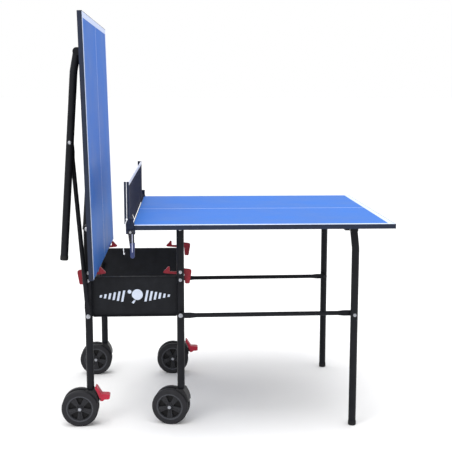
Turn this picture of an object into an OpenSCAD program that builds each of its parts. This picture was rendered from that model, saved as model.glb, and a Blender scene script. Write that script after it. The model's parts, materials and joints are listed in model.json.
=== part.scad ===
// Folding roll-away ping pong table, compact size, one half folded up and the other down.
// Millimetres. Everything is drawn about the chassis centre and moved so that the origin
// lies under the middle of the table, on the floor. X runs along the table, Y across it.

/* [Table top] */
// Length of each half, from the net end to the outer end
half_length = 911; // [909:1:915]
// Width of the table
table_width = 915; // [900:1:960]
// Thickness of the board
board_thick = 16; // [15:1:16]
// Height of the playing surface
table_height = 760; // [760:1:765]
// Distance from the chassis centre to each half's net end
net_gap = 4; // [3.5:0.1:4.5]
// Width of the edge banding
edging = 2; // [1:0.5:3]

/* [Chassis] */
// Distance from the chassis centre to each upright
upright_x = 166; // [164:1:168]
// Distance from the table's edge to the uprights
upright_inset = 147; // [145:1:150]
// Diameter of the uprights and the legs
tube_d = 27; // [26:0.5:27]
// Wall of the steel tubes
wall = 1.5; // [1:0.1:2]
// Height of each half's hinge
hinge_z = 730; // [729:0.5:730]
// Height of the braces' lower bolts
brace_z = 413; // [412:1:414]
// Height of the latches' bolts
latch_z = 570; // [569:1:571]
// Bottom and top of the side panels
panel_z = [404, 552]; // [400:1:552]

/* [Fold linkage] */
// Turn of each half from its playing position to upright
fold_turn = 88.7; // [88:0.1:89]
// Leg pivot under the board, in X and Z
leg_pivot = [786, 728]; // [727:1:786]
// Brace bolt on the leg, in X and Z
leg_bolt = [794, 416]; // [415:1:794]
// Distance from the table's edge to the legs
leg_inset = 98; // [96:1:100]
// Distance from the table's edge to the braces
brace_inset = 122.5; // [122:0.5:123]
// Diameter of the braces
brace_d = 16; // [14:0.5:16]

/* [Net] */
// Height of the net over the surface
net_height = 152; // [150:1:153]
// Distance of the net from the chassis centre
net_x = 7; // [6.5:0.5:7.5]
// Diameter of the tension cord
cord_d = 2.5; // [2:0.1:3]

/* [Casters] */
// Diameter of the caster wheels
wheel_d = 134; // [133:1:134]
// Width of each wheel of a pair
wheel_w = 19; // [17:0.5:19]
// Distance from the swivel axis to the axle
trail = 38; // [37:0.5:39]
// Swivel angle of the near right caster at rest
near_right_swivel = -11.5; // [-15:0.5:0]

/* [Hidden] */
$fn = 48;

// Clearances and fasteners
run_gap = 0.05;          // radial clearance of a pin in its bore
bolt_r = 4;              // M8 bolts of the hinges and braces
small_bolt_r = 3;        // M6 bolts of the latches, panels and legs
tube_r = tube_d / 2;
half_w = table_width / 2;
under_z = table_height - board_thick;
board_end = net_gap + half_length;
upright_y = half_w - upright_inset;
leg_y = half_w - leg_inset;
brace_y = half_w - brace_inset;
panel_thick = 1.5;
panel_bolt_z = 541;      // upper bolts of the side panels
panel_y = upright_y - tube_r - panel_thick;   // inner face of the side panels
latch_thick = 9;
latch_y = panel_y - 0.7 - latch_thick / 2;    // middle plane of the latches
eye_thick = 5;                                // flattened ends of the braces
cross_r = 11;                                 // tube that joins a pair of legs
fork_top = 135;
upright_foot = 136;

// Closing the fold linkage in the XZ plane: angles are positive from +X to +Z
function turned(v, a) = [v.x * cos(a) - v.y * sin(a), v.x * sin(a) + v.y * cos(a)];
function bearing(v) = atan2(v.y, v.x);
hinge = [upright_x, hinge_z];
brace_foot = [upright_x, brace_z];
pivot_up = hinge + turned(leg_pivot - hinge, fold_turn);   // leg pivot when folded
brace_len = norm(leg_bolt - brace_foot);
link_len = norm(leg_bolt - leg_pivot);
span = norm(pivot_up - brace_foot);
along = (span * span + brace_len * brace_len - link_len * link_len) / (2 * span);
aside = sqrt(brace_len * brace_len - along * along);
toward = (pivot_up - brace_foot) / span;
bolt_up = brace_foot + along * toward + aside * [toward.y, -toward.x];
brace_turn = bearing(bolt_up - brace_foot) - bearing(leg_bolt - brace_foot);
leg_turn = bearing(bolt_up - pivot_up) - bearing(leg_bolt - leg_pivot);

// The outline, for the origin
cap_r = tube_r + 1;
foot_up = pivot_up + turned([leg_bolt.x - leg_pivot.x, cap_r * 0.3 - leg_pivot.y], leg_turn);
left_reach = max(upright_x + trail + wheel_d / 2, foot_up.x + cap_r);
origin_x = (board_end - left_reach) / 2;

// The free end of the tension cord, about the chassis centre: round points chosen by hand
cord_route = [
    [-13.5, -482.5, 783], [-14.5, -484.5, 781], [-16, -486, 777], [-18, -487, 771],
    [-20, -487.5, 763], [-22, -488, 753], [-23.5, -488, 743], [-24.5, -488, 731],
    [-25.5, -488, 718], [-26, -488, 705], [-26, -488, 692], [-25.5, -488, 680],
    [-24.5, -488, 669],
];

// ---- Placing ----

module centred() {
    translate([-origin_x, 0, 0]) children();
}

// Turns the children about an axis along Y, from +X to +Z
module turn_about(p, a) {
    translate([p.x, 0, p.y]) rotate([0, -a, 0]) translate([-p.x, 0, -p.y]) children();
}

// The left half is the right one mirrored, and stands folded
module left_folded() {
    mirror([1, 0, 0]) turn_about(hinge, fold_turn) children();
}

module left_legs_folded() {
    mirror([1, 0, 0])
        translate([pivot_up.x, 0, pivot_up.y]) rotate([0, -leg_turn, 0])
            translate([-leg_pivot.x, 0, -leg_pivot.y]) children();
}

module left_braces_folded() {
    mirror([1, 0, 0]) turn_about(brace_foot, brace_turn) children();
}

// The far side is the near side mirrored
module side(far) {
    mirror([0, far, 0]) children();
}

// A cylinder along Y from y1 to y2, centred on p in XZ
module rod_y(p, r, y1, y2) {
    translate([p.x, y2, p.y]) rotate([90, 0, 0]) cylinder(r=r, h=y2 - y1);
}

// A flat plate in the XZ plane, from y1 to y2
module plate_y(y1, y2) {
    translate([0, y2, 0]) rotate([90, 0, 0]) linear_extrude(height=y2 - y1) children();
}

// A bolt along Y with its domed head at y1 and a hexagonal nut that ends at y2
module bolt_y(p, r, y1, y2, nut=true) {
    head_r = 2 * r;
    head_h = 1.1 * r;
    rod_y(p, r, y1, y2);
    translate([p.x, y1, p.y]) rotate([90, 0, 0]) intersection() {
        cylinder(r=head_r, h=head_h);
        translate([0, 0, head_h - 1.9 * head_r]) sphere(r=1.9 * head_r, $fn=64);
    }
    if (nut) {
        translate([p.x, y2 - 0.5, p.y]) rotate([90, 0, 0]) cylinder(r=1.85 * r, h=1.5 * r, $fn=6);
    }
}

// ---- Chassis ----

module near_upright() {
    eye = [0, hinge_z];
    difference() {
        union() {
            translate([0, -upright_y, upright_foot]) cylinder(r=tube_r, h=hinge_z - upright_foot);
            intersection() {
                translate([0, -upright_y, hinge_z - 1]) cylinder(r=tube_r, h=tube_r + 2);
                rod_y(eye, tube_r, -upright_y - tube_r, -upright_y + tube_r);
            }
        }
        // hollow between the caster socket and the hinge eye
        translate([0, -upright_y, upright_foot + 34])
            cylinder(r=tube_r - wall, h=hinge_z - upright_foot - 56);
        translate([0, -upright_y, upright_foot - 1]) cylinder(r=6 + run_gap, h=31);
        rod_y(eye, bolt_r + run_gap, -upright_y - 20, -upright_y + 20);
        rod_y([0, brace_z], bolt_r + run_gap, -upright_y - 20, -upright_y + 20);
        rod_y([0, latch_z], small_bolt_r + run_gap, -upright_y - 20, -upright_y + 20);
        rod_y([0, panel_bolt_z], small_bolt_r + run_gap, -upright_y - 20, -upright_y + 20);
    }
}

module upright(sx, far) {
    color([0.13, 0.13, 0.14]) translate([sx * upright_x, 0, 0]) side(far) near_upright();
}

module side_panel(far) {
    half = upright_x + tube_r;
    lip = 11;
    color([0.12, 0.12, 0.14]) side(far) difference() {
        union() {
            translate([-half, -panel_y - panel_thick, panel_z[0]])
                cube([2 * half, panel_thick, panel_z[1] - panel_z[0]]);
            // folded lips between the uprights
            for (z = [panel_z[0], panel_z[1] - panel_thick]) {
                translate([-upright_x + tube_r + 2, -panel_y - panel_thick - lip, z])
                    cube([2 * (upright_x - tube_r - 2), lip + 0.1, panel_thick]);
            }
        }
        for (x = [-upright_x, upright_x]) {
            rod_y([x, brace_z], bolt_r + 0.2, -panel_y - 5, -panel_y + 5);
            rod_y([x, panel_bolt_z], small_bolt_r + 0.2, -panel_y - 5, -panel_y + 5);
        }
    }
}

module chassis_cross_tubes() {
    z = 480;
    color([0.13, 0.13, 0.14]) for (x = [-upright_x, upright_x]) {
        difference() {
            rod_y([x, z], cross_r, -panel_y, panel_y);
            rod_y([x, z], cross_r - wall, -panel_y + 4, panel_y - 4);
        }
    }
}

module hinge_bolts() {
    ear_out = tube_r + 4.2;
    color([0.75, 0.76, 0.78]) for (x = [-upright_x, upright_x], far = [0, 1]) {
        side(far) bolt_y([x, hinge_z], bolt_r, -upright_y - ear_out, -upright_y + ear_out + 6.5);
    }
}

module brace_bolts() {
    head = -brace_y - eye_thick / 2 - 0.3;
    color([0.75, 0.76, 0.78]) for (x = [-upright_x, upright_x], far = [0, 1]) {
        side(far) bolt_y([x, brace_z], bolt_r, head, -panel_y + 6.5);
    }
}

module latch_and_panel_bolts() {
    head = -upright_y - tube_r;
    color([0.75, 0.76, 0.78]) for (x = [-upright_x, upright_x], far = [0, 1]) {
        side(far) {
            bolt_y([x, panel_bolt_z], small_bolt_r, head, -panel_y + 5);
            bolt_y([x, latch_z], small_bolt_r, head, -panel_y + latch_thick + 6);
            difference() {
                rod_y([x, latch_z], 8, -panel_y - panel_thick, -panel_y + 0.5);
                rod_y([x, latch_z], small_bolt_r, -panel_y - 5, -panel_y + 5);
            }
        }
    }
}

// ---- One half of the table top, drawn in its playing position on the right ----

module board() {
    color([0.14, 0.25, 0.62])
        translate([net_gap + edging, -half_w + edging, under_z])
            cube([half_length - 2 * edging, table_width - 2 * edging, board_thick]);
}

module board_edging() {
    color([0.10, 0.11, 0.16]) {
        for (x = [net_gap, board_end - edging]) {
            translate([x, -half_w + edging, under_z])
                cube([edging, table_width - 2 * edging, board_thick]);
        }
        for (y = [-half_w, half_w - edging]) {
            translate([net_gap, y, under_z]) cube([half_length, edging, board_thick]);
        }
    }
}

// Rails under the board, and the ears of the hinges, welded to short flanges
rail_w = 20;
rail_h = 14;
rail_y = 190;
ear_thick = 3;

module hinge_ear(y1, y2, flange_y1, flange_y2) {
    ear_r = 11;
    top = under_z - hinge_z;
    difference() {
        union() {
            rod_y(hinge, ear_r, y1, y2);
            translate([hinge.x - 14, y1, hinge_z + 2]) cube([28, y2 - y1, top - 2]);
            translate([hinge.x - 20, flange_y1, under_z - 2]) cube([40, flange_y2 - flange_y1, 2]);
        }
        rod_y(hinge, bolt_r + run_gap, y1 - 1, y2 + 1);
    }
}

module under_frame() {
    outer = -upright_y - tube_r - 1;
    inner = -upright_y + tube_r + 1;
    flange = 14;
    color([0.12, 0.12, 0.13]) {
        for (y = [-rail_y, rail_y]) {
            translate([net_gap + 36, y - rail_w / 2, under_z - rail_h]) cube([700, rail_w, rail_h]);
        }
        for (far = [0, 1]) {
            side(far) {
                hinge_ear(outer - ear_thick, outer, outer - ear_thick - flange, outer);
                hinge_ear(inner, inner + ear_thick, inner, inner + ear_thick + flange);
            }
        }
    }
}

// Saddles that carry the legs' cross tube under the board
module leg_saddles() {
    width = 30;
    block = 36;
    below = leg_pivot.y - cross_r - 4;
    color([0.09, 0.09, 0.10]) for (y = [-275, 0, 275]) {
        difference() {
            translate([leg_pivot.x - block / 2, y - width / 2, below])
                cube([block, width, under_z - below]);
            rod_y(leg_pivot, cross_r + run_gap * 2, y - width, y + width);
        }
    }
}

// ---- Legs, drawn in their playing position on the right ----

bend_z = 655;      // the leg is straight below this
bend_r = 80;
to_pivot = [leg_pivot.x - leg_bolt.x + bend_r, leg_pivot.y - bend_z];
bend_end = sqrt(to_pivot.x * to_pivot.x + to_pivot.y * to_pivot.y - bend_r * bend_r);
bend_turn = bearing(to_pivot) - atan2(bend_end, bend_r);
leg_eye_r = tube_r + 0.5;
cap_h = 16;
cap_floor = 6;

module leg(far) {
    centre = [leg_bolt.x - bend_r, bend_z];      // of the bend
    color([0.13, 0.13, 0.14]) side(far) translate([0, -leg_y, 0]) difference() {
        union() {
            translate([leg_bolt.x, 0, cap_floor]) cylinder(r=tube_r, h=bend_z - cap_floor);
            translate([centre.x, 0, centre.y]) rotate([90, 0, 0])
                rotate_extrude(angle=bend_turn) translate([bend_r, 0]) circle(r=tube_r);
            // straight end, and the eye that the cross tube is welded to
            translate([centre.x, 0, centre.y]) rotate([0, -bend_turn, 0]) translate([bend_r, 0, 0])
                cylinder(r=tube_r, h=bend_end);
            rod_y(leg_pivot, leg_eye_r, -leg_eye_r, leg_eye_r);
        }
        translate([leg_bolt.x, 0, cap_floor - 1]) cylinder(r=tube_r - wall, h=bend_z - cap_floor - 20);
        rod_y(leg_bolt, small_bolt_r + run_gap, -20, 20);
    }
}

module leg_cross_tube() {
    color([0.13, 0.13, 0.14]) difference() {
        rod_y(leg_pivot, cross_r, -leg_y + leg_eye_r, leg_y - leg_eye_r);
        rod_y(leg_pivot, cross_r - wall, -leg_y + 30, leg_y - 30);
    }
}

module foot_caps() {
    round = 3;
    color([0.08, 0.08, 0.09]) for (y = [-leg_y, leg_y]) {
        translate([leg_bolt.x, y, 0]) rotate_extrude() difference() {
            union() {
                square([cap_r - round, cap_h]);
                translate([0, round]) square([cap_r, cap_h - round]);
                translate([cap_r - round, round]) circle(r=round);
            }
            translate([0, cap_floor]) square([tube_r + 0.02, cap_h]);
        }
    }
}

module leg_bolts() {
    color([0.75, 0.76, 0.78]) for (far = [0, 1]) {
        side(far) bolt_y(leg_bolt, small_bolt_r, -leg_y - tube_r, -leg_y + tube_r + 0.2, nut=false);
    }
}

// ---- Braces, drawn in their playing position on the right ----

module brace(far) {
    eye_r = 10;
    flat = 34;         // length of each flattened end
    neck = 22;         // where the round tube begins to flatten
    rise = bearing(leg_bolt - brace_foot);
    color([0.13, 0.13, 0.14]) side(far) turn_about(brace_foot, rise)
        translate([brace_foot.x, -brace_y, brace_foot.y]) difference() {
            union() {
                translate([flat + neck, 0, 0]) rotate([0, 90, 0])
                    cylinder(r=brace_d / 2, h=brace_len - 2 * (flat + neck));
                for (end = [0, 1]) {
                    translate([end * brace_len, 0, 0]) mirror([end, 0, 0]) {
                        rod_y([0, 0], eye_r, -eye_thick / 2, eye_thick / 2);
                        translate([0, -eye_thick / 2, -eye_r]) cube([flat, eye_thick, 2 * eye_r]);
                        hull() {
                            translate([flat - 1, -eye_thick / 2, -eye_r])
                                cube([1, eye_thick, 2 * eye_r]);
                            translate([flat + neck, 0, 0]) rotate([0, 90, 0])
                                cylinder(r=brace_d / 2, h=0.5, $fn=32);
                        }
                    }
                }
            }
            for (x = [0, brace_len]) {
                rod_y([x, 0], bolt_r + run_gap, -20, 20);
            }
        }
}

// Bushes that space the braces from the uprights, and the studs at the legs
module brace_bushes() {
    inner = -brace_y + eye_thick / 2;
    outer = -brace_y - eye_thick / 2;
    color([0.07, 0.07, 0.08]) for (far = [0, 1]) {
        side(far) {
            difference() {
                rod_y(brace_foot, 9, inner, -upright_y - tube_r - 0.3);
                rod_y(brace_foot, bolt_r + run_gap, inner - 5, inner + 20);
            }
            rod_y(leg_bolt, 9, -leg_y + tube_r + 0.7, outer);
            rod_y(leg_bolt, bolt_r, outer - 1, inner + 7);
            translate([leg_bolt.x, inner + 6, leg_bolt.y]) rotate([90, 0, 0])
                cylinder(r=1.85 * bolt_r, h=6, $fn=6);
        }
    }
}

// ---- Net ----

tape_h = 14;
post_x = [-22, -5];            // the post's sides
clamp_y = half_w + 3;          // inner face of the clamp plate
clamp_thick = 8;
post_y = clamp_y + clamp_thick;
post_depth = 9;
groove = 3;
post_mid = (post_x[0] + post_x[1]) / 2;
knot_z = 785;
lever_pin = [post_y + 8, table_height - 20];   // Y distance and Z
lever_hub = 10.5;              // half the width of the lever's hub

module net_mesh() {
    thick = 1.5;
    reach = half_w + 2;
    color([0.10, 0.10, 0.20])
        translate([-net_x - thick / 2, -reach, table_height + 0.8])
            cube([thick, 2 * reach, net_height - tape_h - 0.8]);
}

module net_tape() {
    thick = 4;
    color([0.92, 0.92, 0.95])
        translate([-net_x - thick / 2, -post_y + 0.3, table_height + net_height - tape_h])
            cube([thick, 2 * post_y - 0.6, tape_h]);
}

module net_posts() {
    foot = table_height + 8;
    color([0.10, 0.10, 0.12]) for (far = [0, 1]) {
        side(far) difference() {
            translate([post_x[0], -post_y - post_depth, foot])
                cube([post_x[1] - post_x[0], post_depth, net_height - 8]);
            translate([post_mid - groove / 2, -post_y - post_depth - 1, foot - 1])
                cube([groove, 4, net_height + 10]);
        }
    }
}

module net_clamps() {
    plate = [-18, 8];          // the plate's sides
    jaw = [-0.5, 10];          // the jaws' sides, over the corner of this half's board
    jaw_in = half_w - 28;
    jaw_h = 5;
    plate_foot = table_height - 27;
    pin_y = -lever_pin.x;
    ear = 3;
    color([0.09, 0.09, 0.10]) for (far = [0, 1]) {
        side(far) {
            translate([plate[0], -post_y, plate_foot])
                cube([plate[1] - plate[0], clamp_thick, 52]);
            for (z = [table_height, plate_foot]) {
                translate([jaw[0], -clamp_y - 1, z])
                    cube([jaw[1] - jaw[0], clamp_y + 1 - jaw_in, jaw_h]);
            }
            // clamping screw
            translate([(jaw[0] + jaw[1]) / 2, -jaw_in - 8, plate_foot + jaw_h - 1])
                cylinder(r=5, h=under_z - plate_foot - jaw_h + 1);
            // ears and pin of the lever
            for (x = [-lever_hub - 0.5 - ear, lever_hub + 0.5]) {
                translate([x, pin_y, lever_pin.y]) rotate([0, 90, 0]) cylinder(r=7, h=ear);
                translate([x, pin_y, lever_pin.y - 7]) cube([ear, lever_pin.x - post_y + 1, 14]);
            }
            translate([-lever_hub - 3, pin_y, lever_pin.y]) rotate([0, 90, 0])
                cylinder(r=3, h=2 * lever_hub + 6);
        }
    }
}

module clamp_lever(far) {
    hub_r = 6.5;
    drop = 90;                 // from the pin to the grip's end
    grip_x = 4;
    grip_r = 7;
    color([0.10, 0.12, 0.22]) side(far) translate([0, -lever_pin.x, lever_pin.y]) difference() {
        union() {
            translate([-lever_hub, 0, 0]) rotate([0, 90, 0]) cylinder(r=hub_r, h=2 * lever_hub);
            plate_y(-4, 4) polygon([
                [-lever_hub, 0], [lever_hub, 0], [grip_x + grip_r, -drop + 26],
                [grip_x - grip_r, -drop + 26]
            ]);
            translate([grip_x, 0, -drop + grip_r]) cylinder(r=grip_r, h=20);
            translate([grip_x, 0, -drop + grip_r]) sphere(r=grip_r);
        }
        translate([-lever_hub - 1, 0, 0]) rotate([0, 90, 0])
            cylinder(r=3 + run_gap, h=2 * lever_hub + 2);
    }
}

// The cord's fixed runs down the posts' grooves, and the knots at their feet
module net_tension_cord() {
    run_y = -post_y - post_depth + cord_d / 2;
    color([0.90, 0.90, 0.94]) for (far = [0, 1]) {
        side(far) {
            translate([post_mid, run_y, knot_z])
                cylinder(d=cord_d, h=table_height + net_height - knot_z, $fn=24);
            translate([post_mid, -post_y - post_depth - 2.2, knot_z]) sphere(r=3.4, $fn=32);
        }
    }
}

// A round tube swept along the points p
function unit(v) = v / norm(v);
function heading(p, i) = unit(p[min(i + 1, len(p) - 1)] - p[max(i - 1, 0)]);
function ring_at(p, i, r, n) =
    let (t = heading(p, i), u = unit(cross(t, [1, 0, 0])), w = cross(t, u))
    [for (k = [0:n - 1]) p[i] + r * (cos(360 * k / n) * u + sin(360 * k / n) * w)];

module swept_tube(p, r, n) {
    rings = [for (i = [0:len(p) - 1]) each ring_at(p, i, r, n)];
    last = (len(p) - 1) * n;
    walls = [for (i = [0:len(p) - 2], k = [0:n - 1])
        [i * n + k, i * n + (k + 1) % n, (i + 1) * n + (k + 1) % n, (i + 1) * n + k]];
    start = [for (k = [n - 1:-1:0]) k];
    end = [for (k = [0:n - 1]) last + k];
    polyhedron(points=rings, faces=concat(walls, [start, end]));
}

module net_cord_end() {
    color([0.90, 0.90, 0.94]) swept_tube(cord_route, cord_d / 2, 8);
}

// ---- Latches ----

// Outline about the bolt: the hook points to the chassis centre, along -X on the right side
module latch(sx, far) {
    color([0.75, 0.12, 0.18]) side(far) translate([sx * upright_x, -latch_y, latch_z])
        mirror([sx < 0 ? 1 : 0, 0, 0]) difference() {
            union() {
                rod_y([0, 0], 10, -latch_thick / 2, latch_thick / 2);
                plate_y(-latch_thick / 2, latch_thick / 2) polygon([
                    [0, -13], [-20, -12.5], [-55, -9.5], [-60.5, -8], [-62, -5], [-59.5, -1], [-51.5, 6.5],
                    [-46, 14], [-41, 15.5], [-39, 13], [-38, -3.3], [-14, -3.3], [-8, 6], [0, 8]
                ]);
                plate_y(-latch_thick / 2, latch_thick / 2) polygon([
                    [0, 9], [34, 5], [40, 1], [40.5, -5], [34, -44], [31, -48], [19, -48], [16, -44],
                    [14, -12], [0, -9.5]
                ]);
            }
            rod_y([0, 0], small_bolt_r + run_gap, -latch_thick, latch_thick);
        }
}

// ---- Casters ----

axle_r = 4;
wheel_gap = 10;                // from the middle plane to each wheel
hub = [-trail, wheel_d / 2];   // the axle, about the swivel axis
pedal_pin = [36, 100];
pedal_lug = 7;                 // half the width of the lug that carries the pedal
pedal_half = 16;               // half the pedal's width

module at_caster(sx, far, swivel) {
    translate([sx * upright_x, (far == 1 ? 1 : -1) * upright_y, 0]) rotate([0, 0, swivel]) children();
}

module caster_fork(pedal) {
    hood_half = 25;
    stem_r = 6;
    wheel_room = wheel_d / 2 + 2;
    color([0.10, 0.10, 0.11]) difference() {
        union() {
            translate([0, 0, 116]) cylinder(r=stem_r, h=upright_foot + 28 - 116);
            difference() {
                plate_y(-hood_half, hood_half) polygon([
                    [-9, 104], [-9, fork_top], [13, fork_top], [16, 131], [25, 115], [30, 100],
                    [31, 88], [24, 80], [10, 80]
                ]);
                rod_y(hub, wheel_room, -hood_half - 1, hood_half + 1);
            }
            // core between the wheels
            plate_y(-wheel_gap + 1.5, wheel_gap - 1.5)
                polygon([[-54, 70], [-47, 52], [-30, 52], [26, 86], [16, 124], [-18, 128]]);
            if (pedal) {
                plate_y(-pedal_lug, pedal_lug) polygon([[22, 92], [22, 109], [36, 106.5], [36, 93.5]]);
                rod_y(pedal_pin, 6.5, -pedal_lug, pedal_lug);
                rod_y(pedal_pin, 2.5, -pedal_half, pedal_half);
            }
        }
        rod_y(hub, axle_r + run_gap, -30, 30);
    }
}

module wheel_pair() {
    r = wheel_d / 2;
    bevel = 5;
    face = wheel_w - 4;        // of the spokes, behind the tyre's side
    color([0.14, 0.14, 0.15]) for (s = [0, 1]) {
        mirror([0, s, 0]) translate([hub.x, -wheel_gap, hub.y]) rotate([90, 0, 0]) difference() {
            rotate_extrude($fn=96) polygon([
                [axle_r + run_gap, 0], [r - 3, 0], [r, 3], [r, wheel_w - bevel],
                [r - 2, wheel_w - 2], [r - bevel - 1, wheel_w], [50, wheel_w], [46, wheel_w - 1],
                [44, face], [13, face], [11, wheel_w], [axle_r + run_gap, wheel_w]
            ]);
            // wedge shaped pockets between the spokes
            for (k = [0:4]) {
                rotate([0, 0, 90 + 72 * k]) translate([0, 0, wheel_w - 13]) linear_extrude(height=10)
                    polygon([[15, -2.5], [38, -14.5], [41, -8], [42, 0], [41, 8], [38, 14.5], [15, 2.5]]);
            }
        }
    }
}

module axle() {
    end = wheel_gap + wheel_w;
    color([0.78, 0.79, 0.82]) {
        rod_y(hub, axle_r, -end - 2, end + 2);
        for (y = [-end - 5.5, end + 0.5]) {
            rod_y(hub, 6, y, y + 5);
        }
    }
}

// A one-piece pedal with a slot for the lug and its pin
module brake_pedal() {
    slot = pedal_lug + 0.6;
    color([0.78, 0.13, 0.20]) difference() {
        plate_y(-pedal_half, pedal_half) polygon([
            [17, 141], [18.5, 146], [22, 147.5], [25, 145], [42, 118], [66, 116.5], [71, 113],
            [70, 101], [66, 98], [52, 97.5], [45, 92], [36, 92], [33, 103], [26, 122]
        ]);
        plate_y(-slot, slot) polygon([[10, 80], [10, 126], [36, 109], [36, 91]]);
        rod_y(pedal_pin, 8.5, -slot, slot);
        rod_y(pedal_pin, 2.5 + run_gap, -25, 25);
    }
}

// ---- Drawing ----

centred() upright(-1, 0);  // near_left_upright
centred() upright(1, 0);  // near_right_upright
centred() upright(-1, 1);  // far_left_upright
centred() upright(1, 1);  // far_right_upright
centred() side_panel(0);  // near_side_panel
centred() side_panel(1);  // far_side_panel
centred() chassis_cross_tubes();
centred() hinge_bolts();
centred() brace_bolts();
centred() latch_and_panel_bolts();
centred() left_folded() board();  // left_board
centred() left_folded() board_edging();  // left_edging
centred() left_folded() under_frame();  // left_under_frame
centred() left_folded() leg_saddles();  // left_leg_saddles
centred() left_legs_folded() leg(0);  // left_near_leg
centred() left_legs_folded() leg(1);  // left_far_leg
centred() left_legs_folded() leg_cross_tube();  // left_leg_cross_tube
centred() left_legs_folded() foot_caps();  // left_foot_caps
centred() left_legs_folded() leg_bolts();  // left_leg_bolts
centred() left_braces_folded() brace(0);  // left_near_brace
centred() left_braces_folded() brace(1);  // left_far_brace
centred() left_braces_folded() brace_bushes();  // left_brace_bushes
centred() board();  // right_board
centred() board_edging();  // right_edging
centred() under_frame();  // right_under_frame
centred() leg_saddles();  // right_leg_saddles
centred() leg(0);  // right_near_leg
centred() leg(1);  // right_far_leg
centred() leg_cross_tube();  // right_leg_cross_tube
centred() foot_caps();  // right_foot_caps
centred() leg_bolts();  // right_leg_bolts
centred() brace(0);  // right_near_brace
centred() brace(1);  // right_far_brace
centred() brace_bushes();  // right_brace_bushes
centred() net_mesh();
centred() net_tape();
centred() net_posts();
centred() net_clamps();
centred() clamp_lever(0);  // near_clamp_lever
centred() clamp_lever(1);  // far_clamp_lever
centred() net_tension_cord();
centred() net_cord_end();
centred() latch(-1, 0);  // near_left_latch
centred() latch(1, 0);  // near_right_latch
centred() latch(-1, 1);  // far_left_latch
centred() latch(1, 1);  // far_right_latch
centred() at_caster(-1, 0, 0) caster_fork(true);  // near_left_caster_fork
centred() at_caster(1, 0, near_right_swivel) caster_fork(false);  // near_right_caster_fork
centred() at_caster(-1, 1, 0) caster_fork(false);  // far_left_caster_fork
centred() at_caster(1, 1, 0) caster_fork(true);  // far_right_caster_fork
centred() at_caster(-1, 0, 0) wheel_pair();  // near_left_wheels
centred() at_caster(1, 0, near_right_swivel) wheel_pair();  // near_right_wheels
centred() at_caster(-1, 1, 0) wheel_pair();  // far_left_wheels
centred() at_caster(1, 1, 0) wheel_pair();  // far_right_wheels
centred() at_caster(-1, 0, 0) axle();  // near_left_axle
centred() at_caster(1, 0, near_right_swivel) axle();  // near_right_axle
centred() at_caster(-1, 1, 0) axle();  // far_left_axle
centred() at_caster(1, 1, 0) axle();  // far_right_axle
centred() at_caster(-1, 0, 0) brake_pedal();  // near_left_brake_pedal
centred() at_caster(1, 1, 0) brake_pedal();  // far_right_brake_pedal
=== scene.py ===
"""A compact folding ping pong table, one half folded up, in a plain pale studio."""

import json
import math

import bmesh
import bpy
from mathutils import Matrix, Vector


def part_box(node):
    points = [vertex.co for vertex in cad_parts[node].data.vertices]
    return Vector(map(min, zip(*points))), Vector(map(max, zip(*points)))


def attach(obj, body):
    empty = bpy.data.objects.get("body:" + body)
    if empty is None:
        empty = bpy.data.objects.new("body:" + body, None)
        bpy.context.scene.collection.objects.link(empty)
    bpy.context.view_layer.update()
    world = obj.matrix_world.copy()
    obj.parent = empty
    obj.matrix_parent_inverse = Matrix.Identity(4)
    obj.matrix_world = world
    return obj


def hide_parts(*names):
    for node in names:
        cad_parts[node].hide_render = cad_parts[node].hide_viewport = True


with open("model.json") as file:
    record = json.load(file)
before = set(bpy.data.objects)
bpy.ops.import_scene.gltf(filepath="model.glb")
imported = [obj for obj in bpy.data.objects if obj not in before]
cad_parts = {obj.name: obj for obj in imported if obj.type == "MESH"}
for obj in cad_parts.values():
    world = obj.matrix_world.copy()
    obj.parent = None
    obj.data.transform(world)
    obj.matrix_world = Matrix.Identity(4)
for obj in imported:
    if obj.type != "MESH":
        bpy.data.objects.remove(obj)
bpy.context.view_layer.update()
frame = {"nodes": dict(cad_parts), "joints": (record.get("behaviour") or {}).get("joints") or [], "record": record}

MM = 0.001
NODES = frame["nodes"]
JOINTS = {j["name"]: j for j in frame["joints"]}

# ---- Places, from the frame ----

HINGE_LEFT = Vector(JOINTS["left_fold"]["pos_m"])
HINGE_RIGHT = Vector(JOINTS["right_fold"]["pos_m"])
FOLD = math.radians(JOINTS["right_fold"]["range_deg"][1])
CENTRE_X = (HINGE_LEFT.x + HINGE_RIGHT.x) / 2
TOP_LOW, TOP_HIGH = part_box("right_edging")
SURFACE = TOP_HIGH.z
UNDERSIDE = TOP_LOW.z
HALF_WIDTH = TOP_HIGH.y

# From a place on the right half to the same place on the folded left half
TO_LEFT = (
    Matrix.Translation(HINGE_LEFT)
    @ Matrix.Rotation(FOLD, 4, "Y")
    @ Matrix.Scale(-1, 4, (1, 0, 0))
    @ Matrix.Translation(-HINGE_RIGHT)
)


# ---- Node helpers for materials ----

def new_material(name, colour, rough, metallic=0.0, **sockets):
    """A Principled material, with its node tree and its shader node."""
    mat = bpy.data.materials.new(name)
    mat.use_nodes = True
    tree = mat.node_tree
    shader = tree.nodes["Principled BSDF"]
    shader.inputs["Base Color"].default_value = (*colour, 1)
    shader.inputs["Roughness"].default_value = rough
    shader.inputs["Metallic"].default_value = metallic
    for key, value in sockets.items():
        shader.inputs[key.replace("_", " ")].default_value = value
    return mat, tree, shader


def add(tree, kind, inputs=None, **attributes):
    """A node whose inputs are linked where a socket is given and set where a value is."""
    node = tree.nodes.new(kind)
    for key, value in attributes.items():
        setattr(node, key, value)
    for key, value in (inputs or {}).items():
        if isinstance(value, bpy.types.NodeSocket):
            tree.links.new(value, node.inputs[key])
        else:
            node.inputs[key].default_value = value
    return node


def place(tree, stretch=(1, 1, 1)):
    """Object coordinates in metres, stretched."""
    coords = add(tree, "ShaderNodeTexCoord").outputs["Object"]
    node = add(tree, "ShaderNodeMapping", {"Vector": coords, "Scale": stretch})
    return node.outputs["Vector"]


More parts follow.
